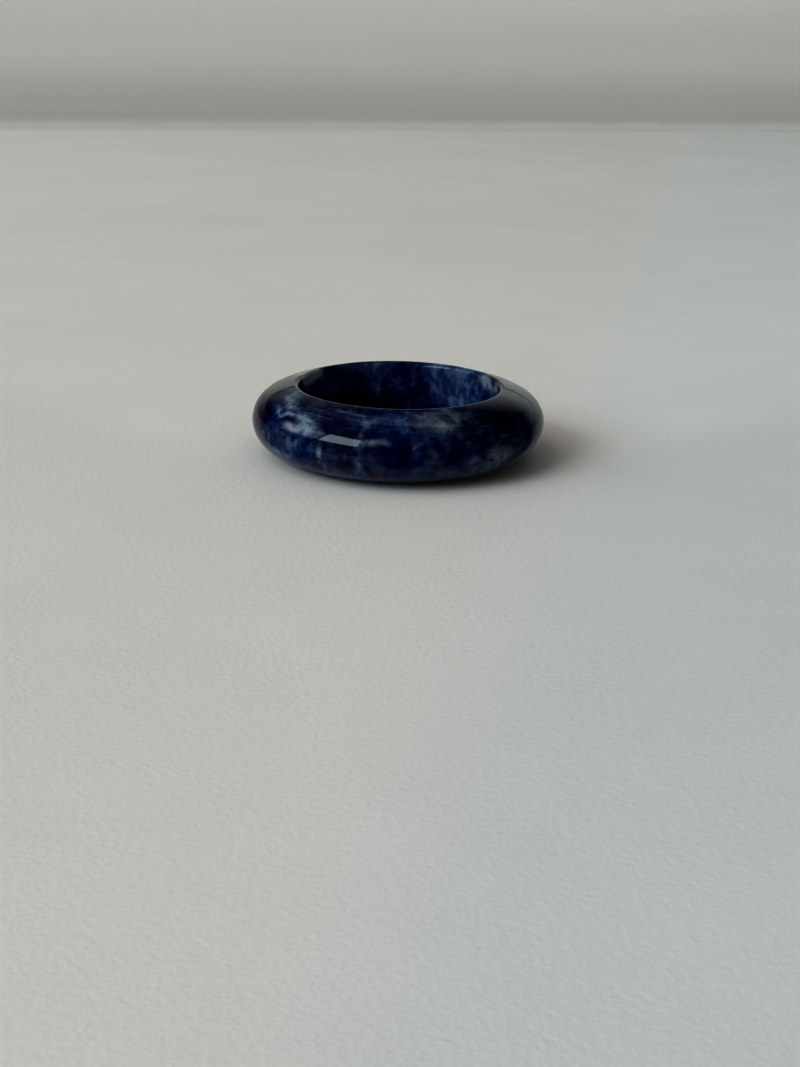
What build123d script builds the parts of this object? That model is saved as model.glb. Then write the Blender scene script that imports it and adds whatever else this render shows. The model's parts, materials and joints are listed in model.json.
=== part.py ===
from build123d import *
import os
from math import atan2, cos, degrees, hypot, radians, sin

# A stackable finger ring, turned and polished from one piece of blue ornamental stone.
# It has a plain round bore, a domed outside, and softly rounded lips where the two meet.
# It lies on its side, as it does on a table: the finger axis is +Z, and the origin is on
# that axis, at the height of the surface that the ring rests on. Sizes are in millimetres.

BORE_DIAMETER = 17.3  # inside diameter, US ring size 7
WALL = 4.1  # stone between the bore and the widest part of the dome
WIDTH = 6.26  # height of the band along the finger axis
NOSE_RADIUS = 2.67  # round nose of the dome, at mid height
LIP_RADIUS = 0.42  # rounding between the bore and each end of the band
LIP_SLOPE = 12.5  # degrees that the shoulder falls away where it leaves the lip

BORE_RADIUS = BORE_DIAMETER / 2
HALF_WIDTH = WIDTH / 2
OUTER_RADIUS = BORE_RADIUS + WALL


def shoulder_arc(lip_centre, nose_centre):
    """The arc that leaves the lip at LIP_SLOPE and runs smoothly into the nose: its centre
    and radius as plain numbers, and the angle above the horizontal where the nose takes over."""
    slope = radians(LIP_SLOPE)
    out_of_lip = (sin(slope), cos(slope))
    start = [c + LIP_RADIUS * n for c, n in zip(lip_centre, out_of_lip)]
    reach = [s - c for s, c in zip(start, nose_centre)]
    along = reach[0] * out_of_lip[0] + reach[1] * out_of_lip[1]
    radius = (hypot(*reach) ** 2 - NOSE_RADIUS**2) / (2 * (along - NOSE_RADIUS))
    centre = [s - radius * n for s, n in zip(start, out_of_lip)]
    nose_angle = atan2(nose_centre[1] - centre[1], nose_centre[0] - centre[0])
    return centre, radius, degrees(nose_angle)


def band_section():
    """The closed cross-section of the band on the XZ plane, centred on mid height: the bore
    wall, and a lip and a shoulder at each end with the nose between them."""
    lip_centre = (BORE_RADIUS + LIP_RADIUS, HALF_WIDTH - LIP_RADIUS)
    nose_centre = (OUTER_RADIUS - NOSE_RADIUS, 0.0)
    shoulder_centre, shoulder_radius, nose_angle = shoulder_arc(lip_centre, nose_centre)
    shoulder_start = 90 - LIP_SLOPE
    with BuildSketch(Plane.XZ) as section:
        with BuildLine():
            for side in (1, -1):
                CenterArc(
                    (lip_centre[0], side * lip_centre[1]),
                    LIP_RADIUS,
                    180,
                    side * (shoulder_start - 180),
                )
                CenterArc(
                    (shoulder_centre[0], side * shoulder_centre[1]),
                    shoulder_radius,
                    side * shoulder_start,
                    side * (nose_angle - shoulder_start),
                )
            CenterArc(nose_centre, NOSE_RADIUS, nose_angle, -2 * nose_angle)
            Line((BORE_RADIUS, lip_centre[1]), (BORE_RADIUS, -lip_centre[1]))
        make_face()
    return section.sketch


def band():
    """The whole ring: the section turned once round the finger axis, standing on the surface."""
    return Pos(0, 0, HALF_WIDTH) * revolve(band_section(), Axis.Z)


os.makedirs("parts", exist_ok=True)
export_step(band(), "parts/band.step")
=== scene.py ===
import json
from math import atan2, cos, pi, radians, sin

import bpy
from mathutils import Matrix, Vector


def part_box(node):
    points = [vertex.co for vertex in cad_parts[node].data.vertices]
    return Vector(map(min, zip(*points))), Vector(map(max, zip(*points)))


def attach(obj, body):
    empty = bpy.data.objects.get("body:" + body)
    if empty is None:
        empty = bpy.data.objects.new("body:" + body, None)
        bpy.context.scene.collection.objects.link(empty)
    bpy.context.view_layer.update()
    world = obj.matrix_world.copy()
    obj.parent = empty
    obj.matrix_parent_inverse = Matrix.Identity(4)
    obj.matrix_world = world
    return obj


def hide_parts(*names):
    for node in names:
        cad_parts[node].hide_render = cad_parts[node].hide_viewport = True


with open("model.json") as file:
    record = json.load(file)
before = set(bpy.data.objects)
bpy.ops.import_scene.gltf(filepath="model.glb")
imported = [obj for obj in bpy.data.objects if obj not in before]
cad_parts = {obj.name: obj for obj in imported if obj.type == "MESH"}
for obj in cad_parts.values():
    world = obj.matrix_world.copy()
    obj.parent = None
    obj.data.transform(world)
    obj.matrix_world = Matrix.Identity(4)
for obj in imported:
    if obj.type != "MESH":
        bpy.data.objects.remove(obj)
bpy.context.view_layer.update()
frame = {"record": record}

scene = bpy.context.scene

# The band: the whole ring, one piece of polished blue stone. It was core-drilled from a slab,
# turned to a domed section and polished by hand on a wheel, which leaves it a few hundredths
# of a millimetre out of true, with softly rounded lips where the dome meets the plain bore.
MM = 0.001
low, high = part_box("band")
BORE = frame["record"]["mounts"][0]["dims"]
BORE_RADIUS = BORE["r_mm"] * MM
OUTER_RADIUS = min(high.x - low.x, high.y - low.y) / 2
HALF_WIDTH = (high.z - low.z) / 2
MID_HEIGHT = (high.z + low.z) / 2
LIP_RADIUS = HALF_WIDTH - BORE["length_mm"] * MM / 2
NOSE_RADIUS = 2.67 * MM
LIP_SLOPE = radians(12.5)  # how far the shoulder falls away where it leaves the lip

ROUND_STEPS = 640
SPAN_STEPS = {"lip": 12, "shoulder": 14, "nose": 44, "bore": 20}


def dome_spans():
    """The section's spans from the upper end of the bore, out over the dome and back up the
    bore: (name, centre, radius, start angle, turn) for an arc, angles from straight outward."""
    lip = Vector((BORE_RADIUS + LIP_RADIUS, HALF_WIDTH - LIP_RADIUS))
    nose = Vector((OUTER_RADIUS - NOSE_RADIUS, 0))
    out_of_lip = Vector((sin(LIP_SLOPE), cos(LIP_SLOPE)))
    start = lip + LIP_RADIUS * out_of_lip
    reach = start - nose
    radius = (reach.length_squared - NOSE_RADIUS**2) / (2 * (reach.dot(out_of_lip) - NOSE_RADIUS))
    shoulder = start - radius * out_of_lip
    meet = atan2(nose.y - shoulder.y, nose.x - shoulder.x)
    leave = pi / 2 - LIP_SLOPE
    below = Vector((1, -1))
    return [
        ("lip", lip, LIP_RADIUS, pi, leave - pi),
        ("shoulder", shoulder, radius, leave, meet - leave),
        ("nose", nose, NOSE_RADIUS, meet, -2 * meet),
        ("shoulder", shoulder * below, radius, -meet, meet - leave),
        ("lip", lip * below, LIP_RADIUS, -leave, leave - pi),
    ]


BORE_LENGTH = 2 * (HALF_WIDTH - LIP_RADIUS)
SPANS = dome_spans()
GIRTH = BORE_LENGTH + sum(abs(radius * turn) for _, _, radius, _, turn in SPANS)


def section_point(run):
    """Where the section is after that run, in metres, from the upper end of the bore out over
    the dome, as (distance from the axis, height over mid height, angle of the outward normal).
    A negative run goes down the bore wall."""
    run %= GIRTH
    for _, centre, radius, start, turn in SPANS:
        length = abs(radius * turn)
        if run <= length:
            angle = start + turn * run / length
            return centre.x + radius * cos(angle), centre.y + radius * sin(angle), angle
        run -= length
    return BORE_RADIUS, run - BORE_LENGTH / 2, pi


HAND_WAVES = (
    # turns round the band, turns round the section, start, share
    (2, 0, 0.4, 0.28),
    (3, 1, 1.9, 0.22),
    (5, -1, 4.1, 0.18),
    (8, 2, 2.6, 0.14),
    (13, -2, 5.2, 0.10),
    (19, 3, 0.9, 0.08),
)
HAND_DEPTH = 0.045 * MM


def hand_cut(angle, run):
    """How far the hand polishing has taken the surface below the true turned form."""
    total = 0
    for round_turns, section_turns, start, share in HAND_WAVES:
        total += share * cos(round_turns * angle + section_turns * 2 * pi * run / GIRTH + start)
    return HAND_DEPTH * (1 - total) / 2


def section_runs():
    """The runs at which the section has a corner, closer together where it bends more."""
    runs = []
    run = 0
    for name, _, radius, _, turn in SPANS:
        length = abs(radius * turn)
        runs += [run + length * i / SPAN_STEPS[name] for i in range(SPAN_STEPS[name])]
        run += length
    return runs + [run + BORE_LENGTH * i / SPAN_STEPS["bore"] for i in range(SPAN_STEPS["bore"])]


def mesh_object(name, verts, faces):
    """An object in the scene with a mesh of these corners and faces."""
    mesh = bpy.data.meshes.new(name)
    mesh.from_pydata(verts, [], faces)
    mesh.update()
    made = bpy.data.objects.new(name, mesh)
    scene.collection.objects.link(made)
    return made


def closed_strip(rings, count):
    """Faces that join each ring of corners to the next, and the last to the first."""
    faces = []
    for i in range(rings):
        here, there = i * count, (i + 1) % rings * count
        for j in range(count):
            k = (j + 1) % count
            faces.append((here + j, here + k, there + k, there + j))
    return faces


section = [(*section_point(run), run) for run in section_runs()]
band_verts = []
for i in range(ROUND_STEPS):
    angle = 2 * pi * i / ROUND_STEPS
    for radius, height, lean, run in section:
        cut = hand_cut(angle, run)
        out = radius - cut * cos(lean)
        up = MID_HEIGHT + height - cut * sin(lean)
        band_verts.append((out * sin(angle), -out * cos(angle), up))
band = mesh_object("polished_band", band_verts, closed_strip(ROUND_STEPS, len(section)))
band.data.shade_smooth()

# The stone: a deep navy that passes into royal blue, clouded with slate grey and veined with
# pale lilac. The pattern runs right through the piece, so it is laid in millimetres of stone,
# and the dome and the bore cut it as they would cut the slab.
stone = bpy.data.materials.new("mottled_blue_stone")
stone.use_nodes = True


def adder(tree):
    """A function that adds one node to that tree, with its inputs by socket name or number."""

    def put(kind, inputs=None, **settings):
        made = tree.nodes.new("ShaderNode" + kind)
        for name, value in settings.items():
            setattr(made, name, value)
        for name, value in (inputs or {}).items():
            if isinstance(value, bpy.types.NodeSocket):
                tree.links.new(value, made.inputs[name])
            else:
                made.inputs[name].default_value = value
        return made

    return put


# put always adds to the material in hand, so each new material sets it again.
put = adder(stone.node_tree)


def sum_of(first, *others):
    for other in others:
        first = put("Math", {0: first, 1: other}, operation="ADD").outputs[0]
    return first


def times(first, second):
    return put("Math", {0: first, 1: second}, operation="MULTIPLY").outputs[0]


def fade(value, low, high, start=0.0, end=1.0):
    """A soft step of value, from start at low to end at high."""
    sockets = {"Value": value, "From Min": low, "From Max": high, "To Min": start, "To Max": end}
    return put("MapRange", sockets, interpolation_type="SMOOTHSTEP").outputs["Result"]


def noise(where, scale, detail, roughness, shift):
    """Cloud noise with its own place for each shift. Its scale is in turns for each unit of
    where: millimetres on the stone, metres on the wall and the table."""
    away = (shift, 1.7 * shift, -shift)
    moved = put("VectorMath", {0: where, 1: away}, operation="ADD").outputs[0]
    sockets = {"Vector": moved, "Scale": scale, "Detail": detail, "Roughness": roughness}
    return put("TexNoise", sockets).outputs


def cloudy(where, scale, detail, size, shift):
    """Cloud noise as a value about zero, with a swing of size."""
    fac = noise(where, scale, detail, 0.5, shift)["Fac"]
    return times(sum_of(fac, -0.5), size)


def wander(where, scale, detail, reach, shift):
    """Moves a place about by up to half of reach, in millimetres, so that edges run ragged."""
    aside = noise(where, scale, detail, 0.5, shift)["Color"]
    shaken = put("VectorMath", {0: aside, 1: (0.5, 0.5, 0.5)}, operation="SUBTRACT").outputs[0]
    scaled = put("VectorMath", {0: shaken, "Scale": reach}, operation="SCALE").outputs[0]
    return put("VectorMath", {0: where, 1: scaled}, operation="ADD").outputs[0]


place = put("TexCoord").outputs["Object"]
in_mm = put("VectorMath", {0: place, "Scale": 1 / MM}, operation="SCALE").outputs[0]
slow_flow = wander(in_mm, scale=0.45, detail=2.5, reach=1.3, shift=3.0)
flowed = wander(slow_flow, scale=1.6, detail=1.0, reach=0.45, shift=11.0)

PATCHES = (
    # kind, degrees round from the front (to the right), mm down the dome from the bore's
    # upper edge, half length in mm, half height in mm, tilt in degrees, strength
    # the pale clouds on the left of the front
    ("cloud", -65, 1.6, 2.6, 1.1, -22, 1.1),
    ("cloud", -62, 1.75, 0.9, 0.7, 0, 0.6),
    ("cloud", -50, 2.8, 2.6, 1.0, -24, 0.7),
    ("cloud", -50, 3.55, 1.8, 0.26, 12, 0.8),
    ("cloud", -59, 3.8, 0.8, 0.25, 55, 0.7),
    ("cloud", -61, 3.5, 1.0, 0.6, 0, 0.9),
    ("lilac", -45.5, 4.6, 1.7, 0.4, 0, 1.2),
    ("lilac", -56, 3.9, 1.3, 0.17, -8, 0.8),
    ("cloud", -44, 4.6, 1.8, 0.6, 0, 0.7),
    ("cloud", -37, 4.1, 1.9, 0.9, -22, 1.35),
    ("blue", -56, 4.6, 1.2, 0.9, 0, 1.0),
    ("deep", -51, 4.1, 0.45, 0.28, 0, 0.9),
    ("deep", -67, 4.7, 1.9, 1.1, 0, 1.6),
    ("grey", -84, 3.4, 4.0, 2.6, 0, 1.2),
    # the royal blue below them, with its mottles
    ("blue", -44, 6.2, 4.0, 2.0, 0, 0.2),
    ("cloud", -48, 6.4, 3.5, 1.8, 0, 0.45),
    ("cloud", -46, 6.0, 0.6, 0.6, 0, 0.4),
    ("cloud", -35, 6.2, 0.8, 0.4, 0, 0.6),
    ("cloud", -51, 5.4, 0.7, 0.35, 0, 0.5),
    ("cloud", -53, 7.4, 1.6, 0.6, 0, 0.7),
    ("grey", -61, 6.2, 2.0, 1.4, 0, 0.8),
    ("cloud", -30, 6.4, 0.4, 1.2, 0, 0.8),
    ("cloud", -28, 7.45, 0.4, 0.35, 0, 0.8),
    # the dark layered part left of the middle, and the vein beside it
    ("deep", -21, 6.9, 1.5, 1.5, 0, 0.5),
    ("grey", -32, 1.2, 4.5, 1.0, 0, 0.7),
    ("cloud", -28, 2.2, 3.8, 1.5, 0, 0.35),
    ("layered", -28, 2.6, 4.2, 1.5, -4, 1.0),
    ("violet", -27, 3.2, 3.0, 1.2, 0, 1.0),
    ("grey", -22, 5.2, 3.0, 2.0, 0, 0.7),
    ("cloud", -23, 6.1, 2.2, 0.5, 0, 0.45),
    ("cloud", -14, 6.4, 0.45, 1.8, -17, 0.8),
    ("lilac", -14, 6.4, 0.2, 1.6, -17, 0.45),
    ("cloud", -12.9, 4.2, 0.35, 0.35, 0, 0.9),
    # the royal blue middle
    ("cloud", -6.5, 4.8, 1.2, 0.5, 0, 1.1),
    ("grey", -6.5, 4.8, 1.4, 0.7, 0, 0.9),
    ("cloud", -7, 2.5, 2.2, 1.2, 0, 0.55),
    ("blue", -7, 2.8, 2.6, 1.8, 0, 0.15),
    ("blue", 1, 5.6, 1.6, 3.4, 0, 1.0),
    ("deep", 0, 6.2, 0.8, 1.8, 0, 0.3),
    ("cloud", -2.1, 7.3, 0.25, 1.4, 0, 0.5),
    ("cloud", 6, 2.1, 2.0, 1.1, 0, 0.65),
    ("deep", 6.1, 3.4, 0.4, 0.25, 0, 0.6),
    ("violet", 5, 4.8, 1.2, 1.0, 0, 0.6),
    # the grey cloud on the right, the navy below it and the black beyond
    ("cloud", 22, 2.1, 2.9, 1.5, -5, 0.9),
    ("cloud", 13, 3.2, 2.4, 0.9, 0, 0.6),
    ("grey", 22, 2.3, 3.3, 1.9, 0, 1.0),
    ("layered", 33, 3.9, 2.0, 0.8, -4, 0.6),
    ("cloud", 33, 4.05, 1.1, 0.35, -5, 0.6),
    ("cloud", 12, 4.25, 1.5, 0.22, 0, 0.5),
    ("cloud", 8.3, 4.9, 0.8, 0.32, 30, 0.8),
    ("violet", 27, 4.5, 2.4, 0.8, 0, 1.0),
    ("deep", 22, 5.6, 2.2, 1.2, 0, 0.7),
    ("cloud", 7, 7.2, 0.5, 0.5, 0, 0.6),
    ("cloud", 40, 6.6, 2.0, 1.2, 10, 0.8),
    ("cloud", 50, 6.8, 1.6, 0.8, 0, 0.45),
    ("grey", 42, 6.4, 3.0, 2.4, 0, 0.9),
    ("deep", 50, 3.4, 3.4, 1.6, 0, 1.1),
    ("grey", 50, 3.2, 3.6, 1.9, 0, 0.6),
    # the bore, and the far lip over it
    ("blue", 133, -2.2, 7.0, 3.2, 0, 1.0),
    ("cloud", 133, -2.2, 7.0, 3.2, 0, 0.6),
    ("cloud", 115, -0.2, 2.0, 0.8, 0, 1.4),
    ("grey", 115, -0.3, 2.2, 0.9, 0, 1.1),
    ("cloud", 140, 0.8, 5.0, 1.0, 0, 0.8),
    ("cloud", 101, -0.3, 0.9, 0.7, 0, 1.5),
    ("grey", 101, -0.3, 1.0, 0.8, 0, 1.2),
    ("cloud", -167, -2.1, 0.35, 1.1, 0, 0.45),
    ("cloud", -114, 0.0, 2.2, 0.85, 0, 3.0),
    ("grey", -114, 0.0, 2.4, 1.0, 0, 2.0),
    ("blue", -160, -0.9, 6.0, 1.1, 0, 1.0),
    ("cloud", -158, 0.2, 5.0, 0.6, 0, 0.9),
    # the deep navy of the bore's back wall, made darker still as painted shade
    ("deep", -137, -3.0, 6.0, 2.6, 0, 1.1),
    ("deep", -166, -3.8, 6.0, 1.9, 0, 1.0),
    # clouds on the sides and the back
    ("cloud", 84, 5.6, 3.0, 1.2, 14, 1.1),
    ("grey", 88, 5.0, 4.0, 2.0, 0, 0.6),
    ("cloud", 116, 3.2, 3.4, 1.3, -18, 1.1),
    ("lilac", 126, 4.4, 1.6, 0.3, -12, 0.7),
    ("cloud", 152, 6.2, 2.4, 1.5, 20, 1.0),
    ("cloud", 178, 3.2, 3.0, 1.3, 8, 0.9),
    ("grey", 176, 3.4, 3.6, 1.8, 0, 0.8),
    ("cloud", -152, 5.4, 2.4, 0.9, -14, 0.8),
    ("blue", -146, 5.8, 3.4, 2.2, 0, 0.8),
    ("cloud", -124, 3.4, 2.8, 1.2, 16, 0.9),
    ("lilac", -119, 4.3, 1.4, 0.28, 10, 0.8),
    ("cloud", -98, 5.8, 2.6, 1.4, -8, 0.8),
)
PATCH_DEPTH = 1.4  # mm, the half depth of every patch
PATCH_SPREAD = 1.3  # how far past its sizes a patch has quite gone
PATCH_CORE = 0.85  # the closeness to its middle from which it has its full strength


def patch(angle, run, half_length, half_height, tilt, strength):
    """How strongly a soft-edged lens of colour shows; it lies in the surface at that place."""
    radius, height, lean = section_point(run * MM)
    angle = radians(angle)
    out = Vector((sin(angle), -cos(angle), 0))
    along = Vector((cos(angle), sin(angle), 0))
    axis = Vector((0, 0, 1))
    across = cos(lean) * axis - sin(lean) * out
    normal = cos(lean) * out + sin(lean) * axis
    turn = Matrix.Rotation(radians(tilt), 3, "Z")
    sockets = {
        "Vector": flowed,
        "Location": (out * radius + axis * (MID_HEIGHT + height)) / MM,
        "Rotation": (Matrix((along, across, normal)).transposed() @ turn).to_euler(),
        "Scale": PATCH_SPREAD * Vector((half_length, half_height, PATCH_DEPTH)),
    }
    local = put("Mapping", sockets, vector_type="TEXTURE").outputs[0]
    closeness = put("TexGradient", {0: local}, gradient_type="SPHERICAL").outputs["Fac"]
    return fade(closeness, 0.0, PATCH_CORE, 0.0, strength)


laid = {kind: 0.0 for kind, *_ in PATCHES}
for kind, *shape in PATCHES:
    laid[kind] = sum_of(laid[kind], patch(*shape))

# The slab's thin layers, which the dome cuts as fine lines round it, and the grain that runs
# across them, which the bore shows as upright strokes.
flat = put("VectorMath", {0: in_mm, 1: (1, 1, 0)}, operation="MULTIPLY").outputs[0]
from_axis = put("VectorMath", {0: flat}, operation="LENGTH").outputs["Value"]
heading = put("VectorMath", {0: flat}, operation="NORMALIZE").outputs[0]
height_up = put("SeparateXYZ", {0: in_mm}).outputs["Z"]
MEAN_RADIUS = 10.0  # mm, where the turns per millimetre round the band are counted


def combed(round_scale, out_scale, up_scale, detail, shift):
    """Noise drawn out round the band, or up it, by its three scales in turns per millimetre."""
    scale = MEAN_RADIUS * round_scale
    bent = put("VectorMath", {0: heading, "Scale": scale}, operation="SCALE").outputs[0]
    apart = put("CombineXYZ", {"X": shift, "Y": shift, "Z": times(from_axis, out_scale)}).outputs[0]
    where = put("VectorMath", {0: bent, 1: apart}, operation="ADD").outputs[0]
    sockets = {"Vector": where, "W": times(height_up, up_scale), "Scale": 1.0, "Detail": detail}
    fac = put("TexNoise", sockets, noise_dimensions="4D").outputs["Fac"]
    return sum_of(fac, -0.5)


BORE_SKIN = (0.05, 0.6)  # mm out from the bore wall, where its strokes start to fade and end
LAYER_DEPTH = 0.3  # all round outside the bore, apart from the layered patches
STROKE_DEPTH = 0.6
out_of_bore = sum_of(from_axis, -BORE_RADIUS / MM)
in_bore = fade(out_of_bore, *BORE_SKIN, 1.0, 0.0)
layer_depth = sum_of(fade(in_bore, 0.0, 1.0, LAYER_DEPTH, 0.0), laid["layered"])
layer_lines = combed(round_scale=0.35, out_scale=4.5, up_scale=4.5, detail=2.0, shift=3.0)
layers = times(layer_lines, layer_depth)
upright_lines = combed(round_scale=1.7, out_scale=0.5, up_scale=0.9, detail=3.0, shift=8.0)
strokes = times(upright_lines, times(in_bore, STROKE_DEPTH))

# How pale the stone is, how blue rather than grey, and how violet, each from its own clouds
# and from the patches of that kind.
MIDDLE_TONE = 0.36
CLOUD_LIFT = 0.36
DEEP_LIFT = -0.30
VIOLET_LIFT = 0.7
broad = cloudy(flowed, scale=0.2, detail=3.0, size=0.9, shift=20.0)
blotch = cloudy(flowed, scale=0.75, detail=2.0, size=0.9, shift=31.0)
grain = cloudy(flowed, scale=2.0, detail=2.0, size=0.45, shift=47.0)
fine = cloudy(in_mm, scale=5.5, detail=2.0, size=0.16, shift=5.0)
clouded = sum_of(times(laid["cloud"], CLOUD_LIFT), times(laid["deep"], DEEP_LIFT))
tone = sum_of(broad, blotch, grain, fine, layers, strokes, clouded, MIDDLE_TONE)
broad_hue = cloudy(flowed, scale=0.4, detail=3.0, size=2.2, shift=63.0)
fine_hue = cloudy(flowed, scale=1.6, detail=3.0, size=1.2, shift=77.0)
hue = sum_of(broad_hue, fine_hue, laid["blue"], times(laid["grey"], -1.0))
violet = cloudy(flowed, scale=0.55, detail=3.0, size=3.0, shift=103.0)
violet = sum_of(violet, times(laid["violet"], VIOLET_LIFT))


def ramp(share, stops):
    """The shade that the stops give at that share, eased from one to the next."""
    made = put("ValToRGB", {"Fac": share})
    made.color_ramp.interpolation = "EASE"
    points = made.color_ramp.elements
    while len(points) < len(stops):
        points.new(0.5)
    for point, (at, shade) in zip(points, stops):
        point.position = at
        point.color = (*shade, 1)
    return made.outputs["Color"]


def mix(share, first, second):
    """The first shade where share is 0 and the second where it is 1."""
    made = put("Mix", {"Factor": share}, data_type="RGBA")
    for name, value in (("A_Color", first), ("B_Color", second)):
        socket = next(s for s in made.inputs if s.identifier == name)
        if isinstance(value, bpy.types.NodeSocket):
            made.id_data.links.new(value, socket)
        else:
            socket.default_value = (*value, 1)
    return next(s for s in made.outputs if s.identifier == "Result_Color")


# The shades of each colour of stone, from the darkest tone to the palest.
BLUE_TONES = (
    (0.05, (0.0012, 0.0018, 0.028)),
    (0.32, (0.0030, 0.0062, 0.082)),
    (0.55, (0.020, 0.050, 0.160)),
    (0.78, (0.098, 0.155, 0.275)),
    (1.00, (0.24, 0.31, 0.41)),
)
GREY_TONES = (
    (0.05, (0.0013, 0.0016, 0.018)),
    (0.32, (0.0055, 0.0080, 0.048)),
    (0.55, (0.037, 0.054, 0.105)),
    (0.78, (0.12, 0.148, 0.205)),
    (1.00, (0.26, 0.29, 0.34)),
)
VIOLET_TONES = (
    (0.05, (0.0035, 0.0018, 0.014)),
    (0.32, (0.010, 0.0060, 0.045)),
    (0.55, (0.048, 0.036, 0.11)),
    (0.78, (0.15, 0.135, 0.24)),
    (1.00, (0.30, 0.28, 0.40)),
)
LILAC = (0.30, 0.29, 0.40)
GREY_TO_BLUE = (-0.7, 0.5)  # the hues at which it is all grey and all blue
VIOLET_RANGE = (0.2, 0.9, 0.0, 0.75)  # violet from, to, and the share of its shade at each
LILAC_RANGE = (0.2, 1.5)
colour = mix(fade(hue, *GREY_TO_BLUE), ramp(tone, GREY_TONES), ramp(tone, BLUE_TONES))
colour = mix(fade(violet, *VIOLET_RANGE), colour, ramp(tone, VIOLET_TONES))
lilac_share = fade(sum_of(laid["lilac"], blotch, grain), *LILAC_RANGE)
colour = mix(lilac_share, colour, LILAC)

# The polish: glassy on the navy, a little duller on the soft pale veins and in the bore, with
# the slow waves of the wheel, fine lapping lines round the band and a few pits.
GLASSY, WORN = 0.055, 0.115  # roughness
WORN_RANGE = (0.35, 0.75)  # the noise at which the wear, a pit or a pitted part starts and is full
PIT_RANGE = (0.64, 0.74)
PITTED_RANGE = (0.45, 0.65)
VEIN_DULLING = 0.10
BORE_DULLING = 0.07
WAVE_HEIGHT = 0.006  # mm, as are the next two
LAPPING_HEIGHT = 0.0006
PIT_DEPTH = 0.004
STONE_IOR = 1.483
worn_spots = noise(in_mm, scale=1.1, detail=3.0, roughness=0.6, shift=91.0)["Fac"]
polish = fade(worn_spots, *WORN_RANGE, GLASSY, WORN)
polish = sum_of(polish, times(lilac_share, VEIN_DULLING), times(in_bore, BORE_DULLING))
wheel_waves = noise(in_mm, scale=0.55, detail=2.0, roughness=0.4, shift=14.0)["Fac"]
lap_lines = combed(round_scale=0.25, out_scale=11.0, up_scale=11.0, detail=2.0, shift=21.0)
pit_spots = noise(in_mm, scale=7.0, detail=2.0, roughness=0.5, shift=29.0)["Fac"]
pitted_parts = noise(in_mm, scale=0.8, detail=2.0, roughness=0.5, shift=35.0)["Fac"]
pits = times(fade(pit_spots, *PIT_RANGE, 0.0, -PIT_DEPTH), fade(pitted_parts, *PITTED_RANGE))
relief = sum_of(times(wheel_waves, WAVE_HEIGHT), times(lap_lines, LAPPING_HEIGHT), pits)
bump = put("Bump", {"Height": relief, "Strength": 1.0, "Distance": MM})

surface = stone.node_tree.nodes["Principled BSDF"]
stone.node_tree.links.new(colour, surface.inputs["Base Color"])
stone.node_tree.links.new(polish, surface.inputs["Roughness"])
stone.node_tree.links.new(bump.outputs["Normal"], surface.inputs["Normal"])
surface.inputs["IOR"].default_value = STONE_IOR
band.data.materials.append(stone)

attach(band, "root")
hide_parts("band")

# The wall: a low painted board that stands behind the table at a slight angle and meets it in
# a small cove. Painted shade darkens it just above the cove, lightens it toward the top and
# darkens its left end. The polish mirrors the glowing cards that come after the table, not the
# wall.
WALL_DISTANCE = 0.369
WALL_TURN = radians(15.6)
WALL_HEIGHT = 0.105
WALL_REACH = 0.7
COVE_RADIUS = 0.004
COVE_STEPS = 10
WALL_SHADE_BY_HEIGHT = (
    # share of the way up to the top of the painted shade, painted shade
    (0.0, (0.80, 0.775, 0.77)),
    (0.055, (0.66, 0.64, 0.625)),
    (0.12, (0.69, 0.672, 0.65)),
    (0.45, (0.815, 0.79, 0.775)),
    (1.0, (0.90, 0.866, 0.845)),
)
WALL_SHADE_HEIGHT = 0.05  # the height at which the painted shade reaches its top shade
WALL_SKIN = 0.03 * MM  # how deep the roller's marks are
WALL_ROUGHNESS = 0.6
WALL_SIDE_SHADE = (-0.16, 0.16, 0.93, 1.05)  # painted shade along the wall: from, to, share of the shade at each
wall_along = Vector((cos(WALL_TURN), sin(WALL_TURN), 0))
wall_front = Vector((sin(WALL_TURN), -cos(WALL_TURN), 0))
wall_middle = Vector((0, WALL_DISTANCE, 0))
upward = Vector((0, 0, 1))


def upright(name, profile, left, right):
    """A sheet along the wall, from left to right of its middle, that follows a profile of
    (distance before the wall, height) corners."""
    verts = []
    for forward, up in profile:
        for side in (left, right):
            verts.append(wall_middle + wall_front * forward + wall_along * side + upward * up)
    faces = [(2 * i, 2 * i + 1, 2 * i + 3, 2 * i + 2) for i in range(len(profile) - 1)]
    return mesh_object(name, verts, faces)


wall_profile = []
for i in range(COVE_STEPS + 1):
    turn = pi / 2 * i / COVE_STEPS
    wall_profile.append((COVE_RADIUS * (1 - sin(turn)), COVE_RADIUS * (1 - cos(turn))))
wall_profile.append((0, WALL_HEIGHT))
wall = upright("wall", wall_profile, -WALL_REACH, WALL_REACH)
wall.data.shade_smooth()
emulsion = bpy.data.materials.new("wall_paint")
emulsion.use_nodes = True
put = adder(emulsion.node_tree)
spot = put("TexCoord").outputs["Object"]
climb = put("SeparateXYZ", {0: spot}).outputs["Z"]
uneven = cloudy(spot, scale=60.0, detail=5.0, size=0.012, shift=1.3)
# Painted shade up the wall: darker just above the cove, lighter toward the top.
shade_share_up = sum_of(times(climb, 1 / WALL_SHADE_HEIGHT), uneven)
roller = noise(spot, scale=1300.0, detail=1.0, roughness=0.5, shift=0.7)["Fac"]
surface = emulsion.node_tree.nodes["Principled BSDF"]
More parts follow.
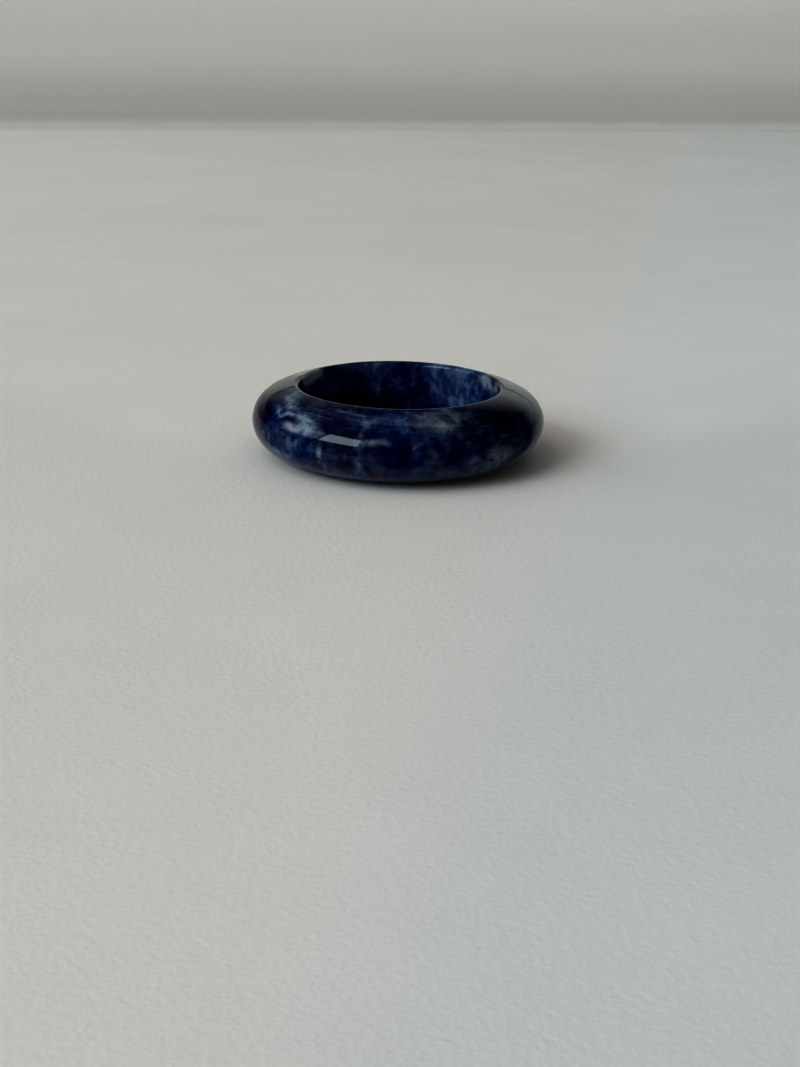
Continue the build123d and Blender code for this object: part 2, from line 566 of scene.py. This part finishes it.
# Painted shade along the wall: darker on the left, lighter on the right.
along = put("VectorMath", {0: spot, 1: wall_along}, operation="DOT_PRODUCT").outputs["Value"]
along = sum_of(along, -wall_middle.dot(wall_along))
sockets = {0: ramp(shade_share_up, WALL_SHADE_BY_HEIGHT), "Scale": fade(along, *WALL_SIDE_SHADE)}
paint = put("VectorMath", sockets, operation="SCALE").outputs[0]
emulsion.node_tree.links.new(paint, surface.inputs["Base Color"])
skin = put("Bump", {"Height": roller, "Distance": WALL_SKIN})
emulsion.node_tree.links.new(skin.outputs["Normal"], surface.inputs["Normal"])
surface.inputs["Roughness"].default_value = WALL_ROUGHNESS
wall.data.materials.append(emulsion)
wall.visible_glossy = False

# The table: a pale board with a satin coat of paint from a roller, which leaves a skin of fine
# dimples. Wiping has worn its sheen here and there. Its paint carries painted light and shade: a
# warmer tint on the window's side, a cooler one on the other side that is darker in front, and
# painted shade toward the wall, darker at its foot. The ring lies on it.
TABLE_REACH = 3.0
NEAR_WALL_SHADE = 0.16  # how far from the wall the painted shade reaches
NEAR_WALL_SHADE_SHARE = 0.95
WALL_FOOT_SHADE = 0.02  # how far from the wall the darker painted shade at its foot reaches
WALL_FOOT_SHADE_SHARE = 0.92
PAINT_SHADES = ((0.875, 0.866, 0.853), (0.905, 0.896, 0.883))
SHADE_RANGE = (0.25, 0.75)  # the noise at which the first shade ends and the second is full
LIT_SIDE_TINT = (1.02, 0.98, 0.995)  # painted light, on the side of the window
SHADED_SIDE_TINT = (1.0, 1.01, 1.047)  # painted shade, on the other side
SHADE_EDGE_SLANT = 0.18  # how far the edge between the two goes aside for each metre back
SHADE_EDGE = (0.002, 0.026)  # how far aside the lit side's painted tint ends and the shaded side's is full
SHADED_FRONT_SHARE = 0.955  # the share of the paint left by the painted shade on the shaded side, in front
SHADED_FRONT_DEPTH = (-0.03, 0.06)  # how far back that begins to fade and has gone
TABLE_SHEEN = (0.3, 0.7, 0.56, 0.50)  # noise from, to, and the roughness at each
TABLE_SKIN = 0.026 * MM  # how deep the dimples are
TABLE_GLOSS = 0.04
corners = ((-1, -1), (1, -1), (1, 1), (-1, 1))
table_verts = [(x * TABLE_REACH, y * TABLE_REACH, 0) for x, y in corners]
table = mesh_object("table", table_verts, [(0, 1, 2, 3)])
satin = bpy.data.materials.new("satin_paint")
satin.use_nodes = True
put = adder(satin.node_tree)
spot = put("TexCoord").outputs["Object"]
worn = noise(spot, scale=45.0, detail=5.0, roughness=0.6, shift=0.3)["Fac"]
dimples = noise(spot, scale=2300.0, detail=1.0, roughness=0.5, shift=0.7)["Fac"]
surface = satin.node_tree.nodes["Principled BSDF"]
before_wall = put("VectorMath", {0: spot, 1: wall_front}, operation="DOT_PRODUCT").outputs["Value"]
before_wall = sum_of(before_wall, -wall_middle.dot(wall_front))
# Painted shade: the paint is darker toward the wall, and darker still at its foot.
painted_shade = fade(before_wall, 0.0, NEAR_WALL_SHADE, NEAR_WALL_SHADE_SHARE, 1.0)
painted_shade = times(painted_shade, fade(before_wall, 0.0, WALL_FOOT_SHADE, WALL_FOOT_SHADE_SHARE, 1.0))
paint = mix(fade(worn, *SHADE_RANGE), *PAINT_SHADES)
# Painted light and shade: a warmer tint on the window's side, a cooler one on the other side that
# is darker in front.
aside = put("VectorMath", {0: spot, 1: (1, -SHADE_EDGE_SLANT, 0)}, operation="DOT_PRODUCT")
shaded_side = fade(aside.outputs["Value"], *SHADE_EDGE)
light_tint = mix(shaded_side, LIT_SIDE_TINT, SHADED_SIDE_TINT)
paint = put("VectorMath", {0: paint, 1: light_tint}, operation="MULTIPLY").outputs[0]
behind = put("SeparateXYZ", {0: spot}).outputs["Y"]
shaded_front = times(shaded_side, fade(behind, *SHADED_FRONT_DEPTH, 1.0, 0.0))
painted_shade = times(painted_shade, fade(shaded_front, 0.0, 1.0, 1.0, SHADED_FRONT_SHARE))
paint = put("VectorMath", {0: paint, "Scale": painted_shade}, operation="SCALE").outputs[0]
satin.node_tree.links.new(paint, surface.inputs["Base Color"])
satin.node_tree.links.new(fade(worn, *TABLE_SHEEN), surface.inputs["Roughness"])
skin = put("Bump", {"Height": dimples, "Strength": 1.0, "Distance": TABLE_SKIN})
satin.node_tree.links.new(skin.outputs["Normal"], surface.inputs["Normal"])
surface.inputs["Specular IOR Level"].default_value = TABLE_GLOSS
table.data.materials.append(satin)


# The cards: glowing sheets that only the polish sees, a painted reflection of the room apart
# from the window and the table. A pale one stands before the wall, and over it, past a dark gap,
# one that dims upward. Both dim at their ends.
def seen_in_polish_only(card):
    card.visible_camera = False
    card.visible_diffuse = False
    card.visible_shadow = False


def bare_material(name):
    """A material with nothing in it but its output, and the function that adds nodes to it."""
    made = bpy.data.materials.new(name)
    made.use_nodes = True
    made.node_tree.nodes.clear()
    return made, adder(made.node_tree)


PAINTED_REFLECTION_COLOUR = (0.96, 1.0, 0.88, 1)
CARD_FORWARD = 0.004  # how far before the wall they stand
CARD_RIGHT = (0.95, -0.05)  # where along the wall the cards are dark and where full, on the right
CARDS = (
    # name, foot, head, glow at the foot, glow at the head, where it is dark and full on the left
    ("back_reflection_glow", 0.0, 0.0945, 0.58, 0.72, (-0.40, 0.0)),
    ("upper_reflection_glow", 0.100, 0.36, 0.78, 0.0, (-0.27, 0.09)),
)
for name, foot, head, at_foot, at_head, card_left in CARDS:
    card = upright(name, [(CARD_FORWARD, foot), (CARD_FORWARD, head)], card_left[0], CARD_RIGHT[0])
    glow, put = bare_material(name)
    spot = put("TexCoord").outputs["Object"]
    up = put("SeparateXYZ", {0: spot}).outputs["Z"]
    along = put("VectorMath", {0: spot, 1: wall_along}, operation="DOT_PRODUCT").outputs["Value"]
    along = sum_of(along, -wall_middle.dot(wall_along))
    ends = times(fade(along, *card_left), fade(along, *CARD_RIGHT))
    strength = times(fade(up, foot, head, at_foot, at_head), ends)
    shine = put("Emission", {"Color": PAINTED_REFLECTION_COLOUR, "Strength": strength})
    put("OutputMaterial", {"Surface": shine.outputs[0]})
    card.data.materials.append(glow)
    seen_in_polish_only(card)


# A round card lies on the table about the ring, which only the polish sees: black before it, a
# painted dark reflection that keeps the pale table out of the front of the dome, and behind it a
# pale glow, a painted reflection. It thins out toward the ring. A small black one lies in the
# ring's hole, a painted dark reflection in the bore.
def round_sheet(name, corners, sides=96):
    """A sheet round the ring, through each (radius, height) of its corners."""
    verts = []
    for i in range(sides):
        angle = 2 * pi * i / sides
        for radius, up in corners:
            verts.append((radius * cos(angle), radius * sin(angle), up))
    count = len(corners)
    faces = []
    for i in range(sides):
        here, there = i * count, (i + 1) % sides * count
        for j in range(count - 1):
            faces.append((here + j, there + j, there + j + 1, here + j + 1))
    return mesh_object(name, verts, faces)


ROUND_CARD_LIFT = 0.2 * MM
ROUND_CARD_FROM = OUTER_RADIUS - 1.5 * MM
ROUND_CARD_FULL = OUTER_RADIUS + 2.5 * MM
ROUND_CARD_REACH = 1.5
PIVOT_ASIDE, PIVOT_AHEAD = 10.3 * MM, 6.7 * MM  # the points that the two pale edges run out from
PALE_EDGE = (0.55, 0.75)  # the sine of the angle back from sideways: pale starts, pale is full
PALE_REFLECTION_GLOW = 0.42
round_reflection_card = round_sheet(
    "round_reflection_card", [(ROUND_CARD_FROM, ROUND_CARD_LIFT), (ROUND_CARD_REACH, ROUND_CARD_LIFT)]
)
two_tone, put = bare_material("dark_and_pale_reflection_card")
spot = put("TexCoord").outputs["Object"]
distance = put("VectorMath", {0: spot}, operation="LENGTH").outputs["Value"]
parts = put("SeparateXYZ", {0: spot}).outputs
aside = put("Math", {0: parts["X"]}, operation="ABSOLUTE").outputs[0]
sockets = {"X": sum_of(aside, -PIVOT_ASIDE), "Y": sum_of(parts["Y"], PIVOT_AHEAD)}
from_pivot = put("CombineXYZ", sockets).outputs[0]
bearing = put("VectorMath", {0: from_pivot}, operation="NORMALIZE").outputs[0]
backward = put("SeparateXYZ", {0: bearing}).outputs["Y"]
strength = fade(backward, *PALE_EDGE, 0.0, PALE_REFLECTION_GLOW)
shine = put("Emission", {"Color": PAINTED_REFLECTION_COLOUR, "Strength": strength}).outputs[0]
clear = put("BsdfTransparent").outputs[0]
cover = fade(distance, ROUND_CARD_FROM, ROUND_CARD_FULL)
cut = put("MixShader", {0: cover, 1: clear, 2: shine})
put("OutputMaterial", {"Surface": cut.outputs[0]})
round_reflection_card.data.materials.append(two_tone)
seen_in_polish_only(round_reflection_card)

HOLE_CARD_FROM = 0.1 * MM
hole_reflection_card = round_sheet(
    "hole_reflection_card", [(HOLE_CARD_FROM, ROUND_CARD_LIFT), (BORE_RADIUS, ROUND_CARD_LIFT)]
)
# Painted dark reflection: a black sheet that only the polish sees, so that the bore mirrors black.
black_reflection_card, put = bare_material("black_reflection_card")
put("OutputMaterial", {"Surface": put("BsdfDiffuse", {"Color": (0, 0, 0, 1)}).outputs[0]})
hole_reflection_card.data.materials.append(black_reflection_card)
seen_in_polish_only(hole_reflection_card)

# The backdrop: pale screens of paper that stand on the table in a wide ring about the piece.
# Only the camera sees them, so they neither light the table nor show in the polish.
BACKDROP_RADIUS = 0.93
BACKDROP_HEIGHT = 0.7
SCREENS = 12
PAPER_SHADE = (0.385, 0.39, 0.37, 1)
paper, put = bare_material("backdrop_paper")
shine = put("Emission", {"Color": PAPER_SHADE, "Strength": 1.0})
put("OutputMaterial", {"Surface": shine.outputs[0]})
for i in range(SCREENS):
    screen_verts = []
    for turn in (2 * pi * i / SCREENS, 2 * pi * (i + 1) / SCREENS):
        x, y = BACKDROP_RADIUS * sin(turn), -BACKDROP_RADIUS * cos(turn)
        screen_verts += [(x, y, 0), (x, y, BACKDROP_HEIGHT)]
    screen = mesh_object("screen_" + str(i + 1), screen_verts, [(0, 2, 3, 1)])
    screen.data.materials.append(paper)
    screen.visible_glossy = False
    screen.visible_diffuse = False
    screen.visible_shadow = False

# The daylight: a wide window with a bar down it, on the left, a soft fill from the same side
# for the sky above it, and the weak light of the room, neither of which the polish mirrors.
WINDOW_DISTANCE = 0.9
WINDOW_SIDE = radians(-60)  # from the camera's side, round to the left
SILL, HEAD = 0.30, 0.85  # as shares of the distance
WINDOW_PANES = (
    # name, left and right edges as shares of the distance, brightness
    ("left_pane", -1.0, -0.105, 1.5),
    ("right_pane", -0.052, 0.56, 5.2),
)
DAYLIGHT = (0.80, 0.95, 0.96)
facing = Vector((sin(WINDOW_SIDE), -cos(WINDOW_SIDE), 0))
beside = Vector((cos(WINDOW_SIDE), sin(WINDOW_SIDE), 0))


def area_light(name, shape, location, aim, colour):
    """An area light that shines against the way it is aimed."""
    light = bpy.data.lights.new(name, "AREA")
    light.shape = shape
    light.color = colour
    made = bpy.data.objects.new(name, light)
    made.location = location
    made.rotation_euler = aim.to_track_quat("Z", "Y").to_euler()
    made.visible_camera = False
    scene.collection.objects.link(made)
    return made


for name, left, right, bright in WINDOW_PANES:
    centre = facing + beside * (left + right) / 2 + upward * (SILL + HEAD) / 2
    pane = area_light(name, "RECTANGLE", WINDOW_DISTANCE * centre, facing, DAYLIGHT)
    pane.data.size = (right - left) * WINDOW_DISTANCE
    pane.data.size_y = (HEAD - SILL) * WINDOW_DISTANCE
    pane.data.energy = bright * pane.data.size * pane.data.size_y * pi

FILL_ANGLE = radians(50)  # over the table
FILL_DISTANCE = 1.2
FILL_SIZE = 1.0
FILL_ENERGY = 3.1
FILL_COLOUR = (1.0, 0.955, 0.87)
above = facing * cos(FILL_ANGLE) + upward * sin(FILL_ANGLE)
fill = area_light("sky_fill", "DISK", FILL_DISTANCE * above, above, FILL_COLOUR)
fill.data.size = FILL_SIZE
fill.data.energy = FILL_ENERGY
fill.visible_glossy = False

ROOM_LIGHT = (0.220, 0.220, 0.212, 1)
world = bpy.data.worlds.new("room")
scene.world = world
world.use_nodes = True
world.node_tree.nodes["Background"].inputs["Color"].default_value = ROOM_LIGHT
world.cycles_visibility.glossy = False

# The camera: close to the ring, where the eye of someone who bends over the table would be. It
# looks down past the ring's upper lip into the bore, and it is held a little out of level.
CAMERA_DISTANCE = 0.14019
CAMERA_RISE = 0.2517  # radians over the table, seen from the ring
CAMERA_SIDESTEP = 0.000362
CAMERA_TILT = radians(18.531)  # down from level
CAMERA_ROLL = 0.0232
FOCAL_LENGTH = 53.98
lens = bpy.data.cameras.new("camera")
lens.lens = FOCAL_LENGTH
lens.sensor_width = 36
lens.clip_start = 0.01
camera = bpy.data.objects.new("camera", lens)
scene.collection.objects.link(camera)
scene.camera = camera
back = CAMERA_DISTANCE * cos(CAMERA_RISE)
raised = MID_HEIGHT + CAMERA_DISTANCE * sin(CAMERA_RISE)
camera.matrix_world = (
    Matrix.Translation((CAMERA_SIDESTEP, -back, raised))
    @ Matrix.Rotation(pi / 2 - CAMERA_TILT, 4, "X")
    @ Matrix.Rotation(CAMERA_ROLL, 4, "Z")
)

# The tone curve: the plain one, made a little brighter and then steeper, so that the navy
# stays deep beside the pale table.
scene.view_settings.view_transform = "Standard"
scene.view_settings.exposure = 0.417
scene.view_settings.gamma = 1 / 1.65
